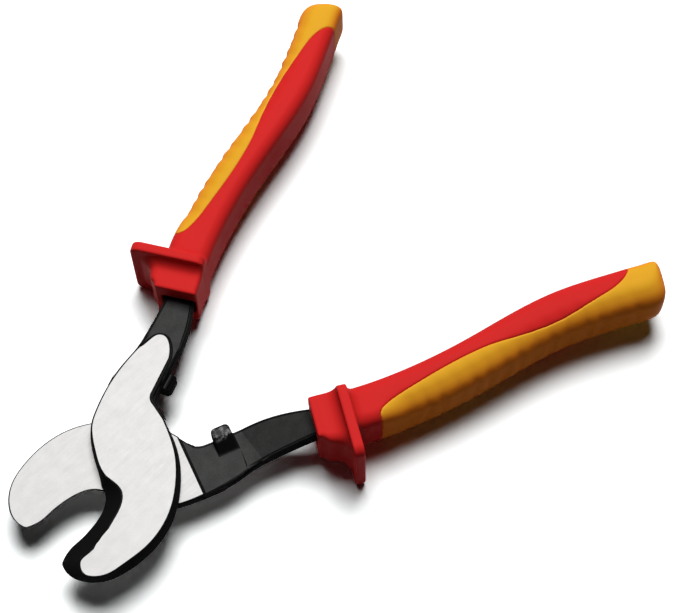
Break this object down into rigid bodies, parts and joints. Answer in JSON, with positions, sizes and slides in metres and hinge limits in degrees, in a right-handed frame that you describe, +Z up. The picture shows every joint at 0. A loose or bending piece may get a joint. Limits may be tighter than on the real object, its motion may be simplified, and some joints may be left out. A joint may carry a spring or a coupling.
{
  "type": "cable cutter",
  "caption": "hand-worked cable cutter with hooked shearing jaws, offset shanks with stop lugs, and thick insulated handles with finger guards and soft outer grips, standing open",
  "frame": {"origin": "centre of the opened tool's box, on the surface it lies on", "axes": "+X runs along the line between the handles, from the jaws to the handles; +Y points to the upper lever's handle; +Z is up, along the pivot"},
  "size_m": [0.23, 0.1846, 0.0314],
  "materials": {
    "lever_steel": "ground bright on the two flat faces of each head, dark scale everywhere else",
    "pivot_steel": "ground flush on top, dull zinc below",
    "liner_plastic": "moulded, hidden",
    "red_sleeve": "smooth moulded, satin",
    "yellow_grip": "smooth soft moulding, satin"
  },
  "bodies": {
    "lower_arm": {"lower_lever": "lever_steel", "lower_liner": "liner_plastic", "lower_sleeve": "red_sleeve", "lower_grip": "yellow_grip"},
    "upper_arm": {"upper_lever": "lever_steel", "upper_liner": "liner_plastic", "upper_sleeve": "red_sleeve", "upper_grip": "yellow_grip", "pivot_bolt": "pivot_steel", "pivot_spring": "pivot_steel", "pivot_washer": "pivot_steel", "pivot_nut": "pivot_steel"}
  },
  "joints": [
    {"name": "pivot", "type": "hinge", "parent": "lower_arm", "child": "upper_arm", "pos_m": [-0.07218, 0, 0.01572], "axis": [0, 0, 1], "range_deg": [-41, 14]}
  ]
}
